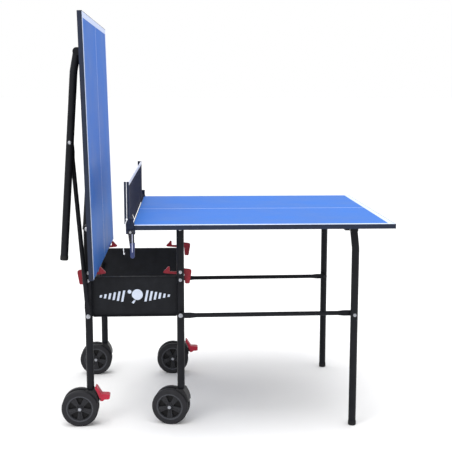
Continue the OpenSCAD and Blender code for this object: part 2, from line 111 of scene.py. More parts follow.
def noise(tree, where, scale, detail=3.0, rough=0.55):
    node = add(tree, "ShaderNodeTexNoise", {
        "Vector": where, "Scale": scale, "Detail": detail, "Roughness": rough,
    })
    return node.outputs["Fac"]


def ramp(tree, value, low, high, colour_low, colour_high):
    """One colour up to low, the other from high on, and a blend between."""
    node = add(tree, "ShaderNodeValToRGB", {"Fac": value})
    for element, at, colour in zip(node.color_ramp.elements, (low, high), (colour_low, colour_high)):
        element.position = at
        element.color = (*colour, 1)
    return node.outputs["Color"]


def remap(tree, value, low, high, to_low, to_high):
    """Takes low..high to to_low..to_high."""
    node = add(tree, "ShaderNodeMapRange", {
        "Value": value, "From Min": low, "From Max": high, "To Min": to_low, "To Max": to_high,
    })
    return node.outputs["Result"]


def mix(tree, factor, first, second, blend="MIX"):
    node = add(tree, "ShaderNodeMix", data_type="RGBA", blend_type=blend)
    for index, value in ((0, factor), (6, first), (7, second)):
        if isinstance(value, bpy.types.NodeSocket):
            tree.links.new(value, node.inputs[index])
        else:
            node.inputs[index].default_value = value if index == 0 else (*value, 1)
    return node.outputs[2]


def bump(tree, shader, height, strength, distance):
    node = add(tree, "ShaderNodeBump", {"Height": height, "Strength": strength, "Distance": distance})
    tree.links.new(node.outputs["Normal"], shader.inputs["Normal"])


def set_colour(tree, shader, colour):
    tree.links.new(colour, shader.inputs["Base Color"])


def set_roughness(tree, shader, value):
    tree.links.new(value, shader.inputs["Roughness"])


def shade(colour, factor):
    return tuple(min(1.0, c * factor) for c in colour)


# ---- Materials ----

def coated_metal(name, colour, rough=0.42):
    """Powder coat: a fine orange peel, faint mottling, and dull rubbed places."""
    mat, tree, shader = new_material(name, colour, rough, Specular_IOR_Level=0.12)
    where = place(tree)
    mottle = noise(tree, where, 26, 4)
    rubbed = noise(tree, place(tree, (1, 1, 0.25)), 70, 5, 0.65)
    base = ramp(tree, mottle, 0.35, 0.7, shade(colour, 0.85), shade(colour, 1.25))
    worn = remap(tree, rubbed, 0.66, 0.78, 0.0, 0.35)
    set_colour(tree, shader, mix(tree, worn, base, shade(colour, 2.6)))
    set_roughness(tree, shader, remap(tree, rubbed, 0.35, 0.75, rough - 0.08, rough + 0.14))
    bump(tree, shader, noise(tree, where, 1100, 2), 0.28, 0.0003)
    return mat


def zinc(name, dark, bright):
    """Zinc plate: a cloudy grey metal, with a fine grain."""
    mat, tree, shader = new_material(name, bright, 0.4, 1.0)
    where = place(tree)
    cloud = noise(tree, where, 160, 4)
    set_colour(tree, shader, ramp(tree, cloud, 0.3, 0.7, dark, bright))
    set_roughness(tree, shader, remap(tree, cloud, 0.3, 0.7, 0.3, 0.48))
    bump(tree, shader, noise(tree, where, 2600, 2), 0.12, 0.0002)
    return mat


def lacquer(name, colour):
    """Rolled blue lacquer on board: fine stipple, soft mottling, and ball marks."""
    mat, tree, shader = new_material(name, colour, 0.5, Specular_IOR_Level=0.03)
    where = place(tree)
    soft = noise(tree, where, 5, 3)
    fine = noise(tree, where, 420, 3)
    base = ramp(tree, soft, 0.3, 0.72, shade(colour, 0.93), shade(colour, 1.08))
    speck = remap(tree, fine, 0.45, 0.75, 0.0, 0.12)
    marks = remap(tree, noise(tree, place(tree, (1, 2.6, 1)), 34, 6, 0.7), 0.68, 0.82, 0.0, 0.22)
    base = mix(tree, speck, base, shade(colour, 1.5))
    set_colour(tree, shader, mix(tree, marks, base, shade(colour, 1.35)))
    set_roughness(tree, shader, remap(tree, soft, 0.3, 0.7, 0.42, 0.55))
    bump(tree, shader, fine, 0.22, 0.0002)
    return mat


def paint_line(name, colour):
    """Printed white or grey, a little rubbed."""
    mat, tree, shader = new_material(name, colour, 0.5, Specular_IOR_Level=0.2)
    where = place(tree)
    wear = noise(tree, where, 90, 6, 0.7)
    set_colour(tree, shader, ramp(tree, wear, 0.35, 0.8, colour, shade(colour, 0.86)))
    bump(tree, shader, noise(tree, where, 500, 3), 0.2, 0.0002)
    return mat


def moulded(name, colour, rough=0.5, grain=1500, coat=0.0, gloss=0.25):
    """Moulded plastic: spark-eroded grain, slight flow shading, and scuffs."""
    mat, tree, shader = new_material(
        name, colour, rough, Coat_Weight=coat, Coat_Roughness=0.15, Specular_IOR_Level=gloss,
    )
    where = place(tree)
    flow = noise(tree, where, 38, 4)
    scuff = noise(tree, place(tree, (1, 1, 3)), 210, 6, 0.7)
    base = ramp(tree, flow, 0.3, 0.72, shade(colour, 0.86), shade(colour, 1.14))
    worn = remap(tree, scuff, 0.62, 0.8, 0.0, 0.3)
    set_colour(tree, shader, mix(tree, worn, base, shade(colour, 1.7)))
    set_roughness(tree, shader, remap(tree, scuff, 0.3, 0.75, rough - 0.08, rough + 0.12))
    cells = add(tree, "ShaderNodeTexVoronoi", {"Vector": where, "Scale": grain})
    bump(tree, shader, cells.outputs["Distance"], 0.16, 0.0002)
    return mat


def woven(name, colour, pitch):
    """Woven tape: warp and weft waves that cross along Y and Z, darker where the weave dips as painted shade, with
    a little fuzz.
    """
    mat, tree, shader = new_material(name, colour, 0.85, Sheen_Weight=0.25, Sheen_Roughness=0.5)
    where = place(tree)
    warp, weft = [
        add(tree, "ShaderNodeTexWave", {
            "Vector": where, "Scale": 0.5 / pitch, "Distortion": 0.4, "Detail": 1.0,
        }, wave_type="BANDS", bands_direction=axis).outputs["Fac"]
        for axis in "YZ"
    ]
    height = add(tree, "ShaderNodeMath", {0: warp, 1: weft}, operation="MULTIPLY").outputs[0]
    # Darker in the weave's hollows: painted shade
    base = ramp(tree, height, 0.0, 0.8, shade(colour, 0.72), colour)
    dirt = remap(tree, noise(tree, where, 40, 5), 0.5, 0.8, 0.0, 0.2)
    set_colour(tree, shader, mix(tree, dirt, base, shade(colour, 0.8)))
    bump(tree, shader, height, 0.6, 0.0004)
    return mat


def braided(name, colour, pitch):
    """Braided cord or twisted thread: diagonal ridges, darker in the grooves as painted shade and a little lighter
    on the crests as painted highlight.
    """
    mat, tree, shader = new_material(name, colour, 0.8, Sheen_Weight=0.2, Sheen_Roughness=0.5)
    where = place(tree)
    lay = add(tree, "ShaderNodeTexWave", {
        "Vector": where, "Scale": 0.5 / pitch, "Distortion": 0.6,
    }, wave_type="BANDS", bands_direction="DIAGONAL").outputs["Fac"]
    # Dark grooves and lighter crests along the lay: painted shade and highlight
    set_colour(tree, shader, ramp(tree, lay, 0.1, 0.9, shade(colour, 0.65), shade(colour, 1.1)))
    bump(tree, shader, lay, 0.7, 0.0003)
    return mat


MATERIALS = {
    "frame_paint": coated_metal("frame_paint", (0.0075, 0.008, 0.0105)),
    "panel_paint": coated_metal("panel_paint", (0.009, 0.0098, 0.0125), 0.5),
    "bolt_steel": zinc("bolt_steel", (0.24, 0.25, 0.28), (0.42, 0.43, 0.46)),
    "table_top": lacquer("table_top", (0.038, 0.143, 0.475)),
    "edging": moulded("edging", (0.010, 0.016, 0.036), 0.45, 2200),
    "black_plastic": moulded("black_plastic", (0.009, 0.009, 0.011), 0.48),
    "foot_rubber": moulded("foot_rubber", (0.01, 0.01, 0.011), 0.72, 900),
    "net_fabric": braided("net_fabric", (0.014, 0.017, 0.042), 0.0016),
    "net_tape": woven("net_tape", (0.78, 0.8, 0.88), 0.0012),
    "net_cord": braided("net_cord", (0.8, 0.82, 0.88), 0.0014),
    "clamp_paint": coated_metal("clamp_paint", (0.013, 0.018, 0.04), 0.4),
    "lever_plastic": moulded("lever_plastic", (0.01, 0.011, 0.018), 0.42),
    "red_plastic": moulded("red_plastic", (0.4, 0.016, 0.04), 0.4, 1800, 0.08, 0.22),
    "wheel_plastic": moulded("wheel_plastic", (0.017, 0.0175, 0.021), 0.46, 1300),
}
LATCH_RED = moulded("latch_red", (0.25, 0.012, 0.024), 0.42, 1800, 0.08, 0.2)
LINE_WHITE = paint_line("line_white", (0.55, 0.62, 0.8))
PRINT_GREY = paint_line("print_grey", (0.6, 0.66, 0.78))
GRIP_BLUE = moulded("grip_blue", (0.022, 0.034, 0.115), 0.42, 1600, 0.1)
TREAD = moulded("tyre_rubber", (0.014, 0.014, 0.017), 0.58, 700)
# A lighter copy of the wheel plastic for the rims' bead: a painted highlight
RIM_HIGHLIGHT = moulded("rim_painted_highlight", (0.04, 0.042, 0.05), 0.34, 1300, 0.15)
# A pale plastic for the stripe down the lever's grip: a painted highlight
HIGHLIGHT_STRIPE = moulded("painted_highlight_stripe", (0.5, 0.52, 0.68), 0.4, 1600)


def paint_cad_nodes():
    """Each node's material, by its slot. The latches are a darker red than the pedals."""
    for entry in frame["record"]["subparts"]:
        node = NODES[entry["node"]]
        node.data.materials.clear()
        made = LATCH_RED if entry["node"].endswith("_latch") else MATERIALS[entry["material_slot"]]
        node.data.materials.append(made)


# ---- Mesh helpers ----

SHARP_ANGLE = math.radians(35)
SOFT_EDGE = 0.6 * MM
SOFT_EDGE_ANGLE = math.radians(50)


def scaled(outline):
    """An outline in millimetres, in metres."""
    return [(a * MM, b * MM) for a, b in outline]


def put(name, data):
    """A new object in the scene."""
    made = bpy.data.objects.new(name, data)
    bpy.context.scene.collection.objects.link(made)
    return made


def finish_mesh(name, bm, material, body, smooth=True):
    """Turns bm into a piece that rides on a CAD body."""
    bmesh.ops.recalc_face_normals(bm, faces=bm.faces[:])
    mesh = bpy.data.meshes.new(name)
    bm.to_mesh(mesh)
    bm.free()
    made = put(name, mesh)
    mesh.materials.append(material)
    if smooth:
        for face in mesh.polygons:
            face.use_smooth = True
        mesh.set_sharp_from_angle(angle=SHARP_ANGLE)
    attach(made, body)
    return made


def block(bm, low, high, bevel=0.0):
    """A box from low to high, with its edges rounded by bevel."""
    low, high = Vector(low), Vector(high)
    made = bmesh.ops.create_cube(bm, size=1)["verts"]
    bmesh.ops.scale(bm, vec=high - low, verts=made)
    bmesh.ops.translate(bm, vec=(low + high) / 2, verts=made)
    if bevel:
        edges = list({e for v in made for e in v.link_edges})
        bmesh.ops.bevel(bm, geom=edges, offset=bevel, segments=2, affect="EDGES", profile=0.6)


def lathe(bm, profile, matrix, steps):
    """Turns (radius, height) points about Z and places the result by matrix."""
    rings = []
    for k in range(steps):
        a = 2 * math.pi * k / steps
        points = [Vector((r * math.cos(a), r * math.sin(a), h)) for r, h in profile]
        rings.append([bm.verts.new(matrix @ p) for p in points])
    for k in range(steps):
        one, two = rings[k], rings[(k + 1) % steps]
        for i in range(len(profile) - 1):
            bm.faces.new((one[i], two[i], two[i + 1], one[i + 1]))


def join_rings(bm, one, two):
    """A band of faces between two closed rings of as many vertices."""
    for k in range(len(one)):
        n = (k + 1) % len(one)
        bm.faces.new((one[k], two[k], two[n], one[n]))


def loft(bm, rings):
    """A closed tube through rings of vertices, with its two ends capped."""
    for one, two in zip(rings, rings[1:]):
        join_rings(bm, one, two)
    bm.faces.new(rings[0])
    bm.faces.new(list(reversed(rings[-1])))


def soften_edges(node):
    """Rounds a CAD node's hard edges with a modifier, so that its mesh stays as it is."""
    made = node.modifiers.new("soft_edges", "BEVEL")
    made.width = SOFT_EDGE
    made.segments = 2
    made.limit_method = "ANGLE"
    made.angle_limit = SOFT_EDGE_ANGLE


# ---- Table halves ----

EDGE_W = 2 * MM         # the edging band's wall
LINE_W = 20 * MM
CENTRE_W = 3 * MM
LINE_LIFT = 0.2 * MM    # how far the paint stands over the board
LINE_SINK = 0.1 * MM    # how far it reaches into the board
BACKING_INSET = 1.2 * MM
BACKING_HALF = 0.3 * MM

# Screws hold the hinges' flanges, in pairs, and the rails, in rows along the table
FLANGE_Y = (285.5 * MM, 335.5 * MM)
FLANGE_X = 14 * MM
FLANGE_THICK = 2 * MM
RAIL_Y = 190 * MM
RAIL_DEEP = 14 * MM
RAIL_FIRST = 70 * MM    # from the table's middle
RAIL_STEP = 150 * MM
RAIL_SCREWS = 5
# (radius, height) in millimetres
SCREW_HEAD = [(0, 1.7), (1.4, 1.65), (2.8, 1.1), (3.6, 0.2), (3.6, -0.6)]


def court_lines(side, matrix):
    """White border lines and the thin centre line, as a paint film on the surface."""
    bm = bmesh.new()
    x1, x2 = TOP_LOW.x + EDGE_W, TOP_HIGH.x - EDGE_W
    y = HALF_WIDTH - EDGE_W
    low, high = SURFACE - LINE_SINK, SURFACE + LINE_LIFT
    strips = [
        ((x1, -y), (x2, -y + LINE_W)),
        ((x1, y - LINE_W), (x2, y)),
        ((x2 - LINE_W, -y + LINE_W), (x2, y - LINE_W)),
        ((x1, -CENTRE_W / 2), (x2 - LINE_W, CENTRE_W / 2)),
    ]
    for (xa, ya), (xb, yb) in strips:
        block(bm, (xa, ya, low), (xb, yb, high))
    bmesh.ops.transform(bm, matrix=matrix, verts=bm.verts[:])
    finish_mesh(f"{side}_court_lines", bm, LINE_WHITE, f"{side}_half", smooth=False)


def backing(side, matrix):
    """Dark backing sheet under the board."""
    bm = bmesh.new()
    y = HALF_WIDTH - BACKING_INSET
    low = (TOP_LOW.x + BACKING_INSET, -y, UNDERSIDE - BACKING_HALF)
    high = (TOP_HIGH.x - BACKING_INSET, y, UNDERSIDE + BACKING_HALF)
    block(bm, low, high)
    bmesh.ops.transform(bm, matrix=matrix, verts=bm.verts[:])
    finish_mesh(f"{side}_backing", bm, MATERIALS["panel_paint"], f"{side}_half", smooth=False)


def screws(side, matrix):
    """Pan head screws through the hinge flanges and the rails into the board."""
    spots = []
    for sy in (-1, 1):
        for y in FLANGE_Y:
            for dx in (-FLANGE_X, FLANGE_X):
                spots.append((HINGE_RIGHT.x + dx, sy * y, UNDERSIDE - FLANGE_THICK))
        for k in range(RAIL_SCREWS):
            x = CENTRE_X + RAIL_FIRST + RAIL_STEP * k
            spots.append((x, sy * RAIL_Y, UNDERSIDE - RAIL_DEEP))
    bm = bmesh.new()
    for at in spots:
        head_down = Matrix.Translation(at) @ Matrix.Rotation(math.pi, 4, "X")
        lathe(bm, scaled(SCREW_HEAD), head_down, 18)
    bmesh.ops.transform(bm, matrix=matrix, verts=bm.verts[:])
    finish_mesh(f"{side}_screws", bm, MATERIALS["bolt_steel"], f"{side}_half")


# ---- Net ----

NET_PITCH = 7 * MM
THREAD = 2.2 * MM
NET_SIDE_GAP = 1.2 * MM    # from the net's edge threads to its space's sides
NET_END_GAP = 1.0 * MM     # the same at its top and foot
NET_WAVE = 0.25 * MM

STITCH = 3.2 * MM
STITCH_SPACING = 1.35      # of a stitch's length
STITCH_HALF = 0.3 * MM     # half its thickness
STITCH_LOW = 2.2 * MM      # over the tape's lower edge
STITCH_HIGH = 2.9 * MM

# The net's lowest rows lean out to the board's end. Where the latches' arms pass they lean
# the other way a little instead, with an even change between the two.
SKIRT = 34 * MM
SKIRT_REACH = 9 * MM
LATCH_ROOM = 1.2 * MM
LATCH_Y = JOINTS["far_right_latch_turn"]["pos_m"][1]
LATCH_HALF = 8 * MM
LATCH_EASE = 14 * MM


def clear_of_latches(y):
    """0 where a latch's arm passes, 1 well clear of it."""
    away = abs(abs(y) - LATCH_Y)
    t = min(1.0, max(0.0, (away - LATCH_HALF) / LATCH_EASE))
    return t * t * (3 - 2 * t)


def net():
    """A knotted mesh, stretched between the posts, with its sewn tape."""
    low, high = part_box("net_mesh")
    x = (low.x + high.x) / 2
    width, height = high.y - low.y, high.z - low.z
    columns = round(width / NET_PITCH)
    rows = round(height / NET_PITCH)
    bm = bmesh.new()
    grid = []
    for i in range(columns + 1):
        y = low.y + NET_SIDE_GAP + (width - 2 * NET_SIDE_GAP) * i / columns
        clear = clear_of_latches(y)
        line = []
        for j in range(rows + 1):
            z = low.z + NET_END_GAP + (height - 2 * NET_END_GAP) * j / rows
            wave = NET_WAVE * math.sin(y * 21) * math.sin(math.pi * j / rows)
            foot = max(0.0, 1 - (z - low.z) / SKIRT) ** 2
            lean = foot * (SKIRT_REACH * clear - LATCH_ROOM * (1 - clear))
            line.append(bm.verts.new((x + wave + lean, y, z)))
        grid.append(line)
    for i in range(columns):
        for j in range(rows):
            bm.faces.new((grid[i][j], grid[i + 1][j], grid[i + 1][j + 1], grid[i][j + 1]))
    fabric = MATERIALS["net_fabric"]
    made = finish_mesh("net_lattice", bm, fabric, "right_half", smooth=False)
    threads = made.modifiers.new("threads", "WIREFRAME")
    threads.thickness = THREAD
    threads.use_even_offset = False
    threads.use_boundary = True
    bpy.context.view_layer.update()
    shown = made.evaluated_get(bpy.context.evaluated_depsgraph_get())
    applied = bpy.data.meshes.new_from_object(shown)
    made.modifiers.clear()
    made.data = applied
    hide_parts("net_mesh")
    tape = net_tape()


def net_tape():
    """White tape folded over the net's top, slightly rippled, with a row of stitches on each face."""
    low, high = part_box("net_tape")
    x = (low.x + high.x) / 2
    half = (high.x - low.x) / 2
    foot, shoulder = low.z + 1 * MM, high.z - 4 * MM
    fold = [math.pi * (1 - k / 6) for k in range(7)]
    outline = [(-half * 0.55, low.z), (-half, foot), (-half * 0.95, shoulder)]
    outline += [(half * math.cos(a), high.z - half + half * math.sin(a)) for a in fold]
    outline += [(half * 0.95, shoulder), (half, foot), (half * 0.55, low.z)]
    bm = bmesh.new()
    steps = 120
    rings = []
    for i in range(steps + 1):
        y = low.y + (high.y - low.y) * i / steps
        ripple = 0.95 - 0.05 * math.sin(i * 1.7)
        rings.append([bm.verts.new((x + px * ripple, y, pz)) for px, pz in outline])
    loft(bm, rings)
    made = finish_mesh("net_top_tape", bm, MATERIALS["net_tape"], "right_half")
    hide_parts("net_tape")

    bm = bmesh.new()
    thread = MATERIALS["net_cord"]
    margin = 5 * MM
    step = STITCH * STITCH_SPACING
    for sx in (-1, 1):
        face = x + sx * half * 0.9
        for i in range(int((high.y - low.y - 2 * margin) / step)):
            y = low.y + margin + i * step
            block(bm, (face - STITCH_HALF, y, low.z + STITCH_LOW),
                  (face + STITCH_HALF, y + STITCH, low.z + STITCH_HIGH))
    finish_mesh("net_tape_stitches", bm, thread, "right_half", smooth=False)
    return made


# The tension cord's free end hangs beside the near clamp. Its route is in millimetres, with x
# counted from the table's middle.
CORD_D = 2.5 * MM
KNOT_R = 1.612 * MM        # a turn of the knot, to the middle of its strand
KNOT_STRAND = 1.1 * MM
CORD_ROUTE = [
    (-13.5, -482.5, 783), (-14.5, -484.5, 781), (-16, -486, 777), (-18, -487, 771),
    (-20, -487.5, 763), (-22, -488, 753), (-23.5, -488, 743), (-24.5, -488, 731),
    (-25.5, -488, 718), (-26, -488, 705), (-26, -488, 692), (-25.5, -488, 680),
    (-24.5, -488, 669),
]


def cord_end():
    """The tension cord's free end, with a knot of three crossed turns."""
    points = [Vector((CENTRE_X + x * MM, y * MM, z * MM)) for x, y, z in CORD_ROUTE]
    curve = bpy.data.curves.new("net_cord_free_end", "CURVE")
    curve.dimensions = "3D"
    curve.bevel_depth = CORD_D / 2
    curve.bevel_resolution = 3
    curve.use_fill_caps = True
    spline = curve.splines.new("POLY")
    spline.points.add(len(points) - 1)
    for at, p in zip(spline.points, points):
        at.co = (*p, 1)
    made = put("net_cord_free_end", curve)
    curve.materials.append(MATERIALS["net_cord"])
    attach(made, "right_half")
    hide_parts("net_cord_end")
    bm = bmesh.new()
    around = [2 * math.pi * k / 8 for k in range(9)]
    strand = [(KNOT_R + KNOT_STRAND * math.cos(a), KNOT_STRAND * math.sin(a)) for a in around]
    at = Matrix.Translation(points[-1] + Vector((0.6, 0, -1)) * MM)
    for tilt in (0.5, 2.0, 3.6):
        turn = at @ Matrix.Rotation(tilt, 4, "Y") @ Matrix.Rotation(tilt * 1.3, 4, "X")
        lathe(bm, strand, turn, 16)
    knot = finish_mesh("net_cord_end_knot", bm, MATERIALS["net_cord"], "right_half")


# ---- Side panels ----

# The motif's outlines are (x, z) points in millimetres from the panel's middle
STRIPES = 6
STRIPE_WIDE = 8
STRIPE_STEP = 15.5
FIRST_STRIPE = (-128, 9)    # its place and its height
STRIPE_GROWTH = 6.5
FILM_HALF = 0.25 * MM


def round_points(cx, cz, r, start=0, end=360, steps=28):
    """Points along an arc, from start to end in degrees."""
    angles = [math.radians(start + (end - start) * k / steps) for k in range(steps + 1)]
    return [(cx + r * math.cos(a), cz + r * math.sin(a)) for a in angles]


def motif_outlines():
    """A bat and a ball, between two fans of slanted stripes that grow towards the middle."""
    outlines = []
    x, tall = FIRST_STRIPE
    for _ in range(STRIPES):
        lean = tall / 5
        right = x + STRIPE_WIDE
        bar = [(x, -tall / 2), (right, -tall / 2), (right + lean, tall / 2), (x + lean, tall / 2)]
        outlines.append(bar)
        outlines.append([(-px, -pz) for px, pz in bar])
        x += STRIPE_STEP
        tall += STRIPE_GROWTH
    ball = round_points(-19, 16, 7)[:-1]
    blade = round_points(9, 5, 20, -115, 205)
    handle = [(-3, -15), (3, -17), (-5, -29), (-12, -24)]
    return outlines + [ball, blade, handle]


def panel_motif(side):
    """The printed motif, as a film on the side panel's outer face."""
    low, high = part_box(f"{side}_side_panel")
    upright_low, upright_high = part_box(f"{side}_right_upright")
    face = upright_high.y if side == "near" else upright_low.y
    middle = (low.z + high.z) / 2
    bm = bmesh.new()
    for outline in motif_outlines():
        front, back = [
            [bm.verts.new((CENTRE_X + x * MM, y, middle + z * MM)) for x, z in outline]
            for y in (face - FILM_HALF, face + FILM_HALF)
        ]
        loft(bm, [front, back])
    finish_mesh(f"{side}_panel_motif", bm, PRINT_GREY, "chassis", smooth=False)


# ---- Clamps, wheels and small parts ----

# A clamp's lever. Outlines are in millimetres: (radius, height) for turned shapes, and
# (height over the lever's foot, distance from its middle plane) for the pale stripe, a painted highlight down the
# grip.
LEVER_DROP = 90 * MM        # from the lever's pin to its foot
LEVER_SHIFT = 4 * MM        # from the pin's middle to the lever's
GRIP_R = 7.6
GRIP_FLARE = [(GRIP_R, 20), (GRIP_R * 1.04, 27), (9.2, 50), (9.6, 53), (8.4, 54)]
HIGHLIGHT_RUN = [(22, 8), (27, 8.2), (50, 9.5), (53, 9.9), (54.3, 8.8), (54.6, 4.4), (84, 4.4)]
HIGHLIGHT_HALF = 1.2
PIN_END = [(0, 1.6), (2.4, 1.2), (4, 0.2), (4, -0.3)]
PIN_HALF = 14 * MM
RIVET = [(0, 0.9), (3.2, 0.8), (4.2, 0), (4.2, -0.6)]
RIVET_SHIFT = 2 * MM
RIVET_FACE = 6.6 * MM       # the lever's outer face, from the pin's middle


def lever_trim(side):
    """Blue grip sleeve, a pale stripe painted as a highlight, and the ends of the pin and of a rivet on a clamp's
    lever.
    """
    pin = Vector(JOINTS[f"{side}_clamp_turn"]["pos_m"])
    out = -1 if side == "near" else 1
    body = f"{side}_lever"
    x = pin.x + LEVER_SHIFT
    foot = pin.z - LEVER_DROP
    bm = bmesh.new()
    angles = [math.radians(a) for a in range(0, 91, 15)]
    round_foot = [(GRIP_R * math.sin(a), GRIP_R - GRIP_R * math.cos(a)) for a in angles]
    lathe(bm, scaled(round_foot + GRIP_FLARE), Matrix.Translation((x, pin.y, foot - 0.5 * MM)), 40)
    finish_mesh(f"{side}_lever_grip", bm, GRIP_BLUE, body)

    # The pale stripe down the grip: a painted highlight
    bm = bmesh.new()
    rings = []
    for height, depth in HIGHLIGHT_RUN:
        low, high = depth - 1, depth
        corners = [(-HIGHLIGHT_HALF, low), (-HIGHLIGHT_HALF, high), (HIGHLIGHT_HALF, high), (HIGHLIGHT_HALF, low)]
        z = foot + height * MM
        rings.append([bm.verts.new((x + dx * MM, pin.y + out * dy * MM, z)) for dx, dy in corners])
    loft(bm, rings)
    finish_mesh(f"{side}_lever_painted_highlight", bm, HIGHLIGHT_STRIPE, body)

    bm = bmesh.new()
    for sx in (-1, 1):
        at = Matrix.Translation((pin.x + sx * PIN_HALF, pin.y, pin.z))
        lathe(bm, scaled(PIN_END), at @ Matrix.Rotation(sx * math.pi / 2, 4, "Y"), 20)
    at = Matrix.Translation((pin.x - RIVET_SHIFT, pin.y + out * RIVET_FACE, pin.z))
    lathe(bm, scaled(RIVET), at @ Matrix.Rotation(-out * math.pi / 2, 4, "X"), 24)
    finish_mesh(f"{side}_lever_rivets", bm, MATERIALS["bolt_steel"], body)


# A wheel pair, in millimetres. Turned shapes are (radius, distance from the pair's middle).
# Plates on the wheels' faces are (along the spoke, across it), with heights from that middle.
WHEEL_R = JOINTS["near_left_wheel_spin"]["pos_m"][2] / MM
TREAD_PROFILE = [
    (46.5, 28.4), (47.5, 29.1), (51, 29.25), (56, 29.3), (WHEEL_R - 5.8, 29.3),
    (WHEEL_R - 3.5, 28.4), (WHEEL_R - 1.8, 27.2), (WHEEL_R - 0.6, 25.6), (WHEEL_R + 0.05, 24.2),
    (WHEEL_R + 0.05, 13), (WHEEL_R - 0.8, 11.9), (WHEEL_R - 2.9, 9.85), (58, 9.8),
]
# The rims' raised bead, painted lighter than the wheels as a highlight
RIM_PROFILE = [(43.6, 24.8), (44.1, 27.8), (45, 29), (46.4, 29.6), (48, 29.5), (49.6, 29)]
SPOKES = 5
RIB = [(14, -1.3), (14, 1.3), (43.4, 2.6), (43.4, -2.6)]
RIB_HEIGHTS = (24.6, 26.3)
RIB_FLARE = 1.9
# Dark plates at the bottom of the pockets: painted shade in these recesses
POCKET_SHADE = [(15.5, -2.3), (37.8, -14), (40.6, -7.8), (41.6, 0), (40.6, 7.8), (37.8, 14), (15.5, 2.3)]
POCKET_HEIGHTS = (15.6, 16.5)


def plates(at_hub, outline, heights, first, flare=1.0):
    """A plate for each spoke of both wheels, from a first angle, its foot flare times as wide."""
    bm = bmesh.new()
    low, high = heights
    for side in (1, -1):
        for k in range(SPOKES):
            turn = at_hub @ Matrix.Rotation(math.radians(first + 360 / SPOKES * k), 4, "Z")
            top, foot = [
                [bm.verts.new(turn @ (Vector((x, y * wide, side * z)) * MM)) for x, y in outline]
                for z, wide in ((high, 1.0), (low, flare))
            ]
            loft(bm, [top, foot])
    return bm


def tyres(corner):
    """Rubber tyres, rims in a lighter plastic as a painted highlight, spoke ribs, and dark plates in the pockets
    as painted shade, on the two wheels of a pair.
    """
    spin = JOINTS[f"{corner}_wheel_spin"]
    axis = Vector(spin["axis"]).normalized()
    up = Vector((0, 0, 1))
    axes = Matrix((up.cross(axis), up, axis)).transposed().to_4x4()
    at_hub = Matrix.Translation(spin["pos_m"]) @ axes
    body = f"{corner}_wheel_pair"
    plastic = MATERIALS["wheel_plastic"]
    for piece, profile, material in (("tyres", TREAD_PROFILE, TREAD), ("wheel_rims_painted_highlight", RIM_PROFILE, RIM_HIGHLIGHT)):
        bm = bmesh.new()
        for side in (1, -1):
            lathe(bm, scaled([(r, side * h) for r, h in profile]), at_hub, 96)
        finish_mesh(f"{corner}_{piece}", bm, material, body)
    ribs = plates(at_hub, RIB, RIB_HEIGHTS, -90, RIB_FLARE)
    finish_mesh(f"{corner}_wheel_faces", ribs, plastic, body)
    # Dark plates in the pockets: painted shade
    pocket_shade_plates = plates(at_hub, POCKET_SHADE, POCKET_HEIGHTS, 90)
    dark = MATERIALS["foot_rubber"]
    finish_mesh(f"{corner}_wheel_pocket_shade", pocket_shade_plates, dark, body, smooth=False)


# Finger ribs on a latch's handle, from its bolt outwards and down
LATCH_RIBS = 4
LATCH_RIB_NEAR = 19 * MM
LATCH_RIB_FAR = 35 * MM
LATCH_RIB_TAPER = 0.9 * MM     # each rib is this much shorter than the one over it
LATCH_RIB_FIRST = 14 * MM
LATCH_RIB_STEP = 7 * MM
LATCH_RIB_HIGH = 2.2 * MM
LATCH_RIB_PROUD = 0.5 * MM
LATCH_RIB_SINK = 0.4 * MM

# Anti-slip ribs on a brake pedal, whose top slopes away from its pin
PEDAL_RIBS = (9 * MM, 15.5 * MM, 22 * MM)
PEDAL_RIB_WIDE = 3 * MM
PEDAL_RIB_INSET = 2 * MM
PEDAL_TOP = 17.8 * MM          # over the pin
PEDAL_SLOPE = 0.0625


def latch_ribs(corner):
    """Raised finger ribs on the latch's handle, on both faces."""
    pin = Vector(JOINTS[f"{corner}_latch_turn"]["pos_m"])
    low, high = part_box(f"{corner}_latch")
    sx = 1 if pin.x > CENTRE_X else -1
    faces = (
        (low.y - LATCH_RIB_PROUD, low.y + LATCH_RIB_SINK),
        (high.y - LATCH_RIB_SINK, high.y + LATCH_RIB_PROUD),
    )
    bm = bmesh.new()
    for k in range(LATCH_RIBS):
        z = pin.z - LATCH_RIB_FIRST - LATCH_RIB_STEP * k
        ends = (pin.x + sx * LATCH_RIB_NEAR, pin.x + sx * (LATCH_RIB_FAR - LATCH_RIB_TAPER * k))
        for y1, y2 in faces:
            block(bm, (min(ends), y1, z), (max(ends), y2, z + LATCH_RIB_HIGH), 0.3 * MM)
    finish_mesh(f"{corner}_latch_ribs", bm, LATCH_RED, f"{corner}_latch")


def pedal_ribs(corner):
    """Anti-slip ribs across the top of a brake pedal."""
    low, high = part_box(f"{corner}_brake_pedal")
    pin = Vector(JOINTS[f"{corner}_pedal_press"]["pos_m"])
    y1, y2 = low.y + PEDAL_RIB_INSET, high.y - PEDAL_RIB_INSET
    bm = bmesh.new()
    for along in PEDAL_RIBS:
        x = pin.x + along
        z = pin.z + PEDAL_TOP - PEDAL_SLOPE * along
        block(bm, (x, y1, z - 1.5 * MM), (x + PEDAL_RIB_WIDE, y2, z + 0.7 * MM), 0.5 * MM)
    red = MATERIALS["red_plastic"]
    finish_mesh(f"{corner}_pedal_ribs", bm, red, f"{corner}_pedal")


WELD_R = 1.7 * MM
WELD_RIPPLE = 0.35 * MM
WELD_INSET = 1.2 * MM


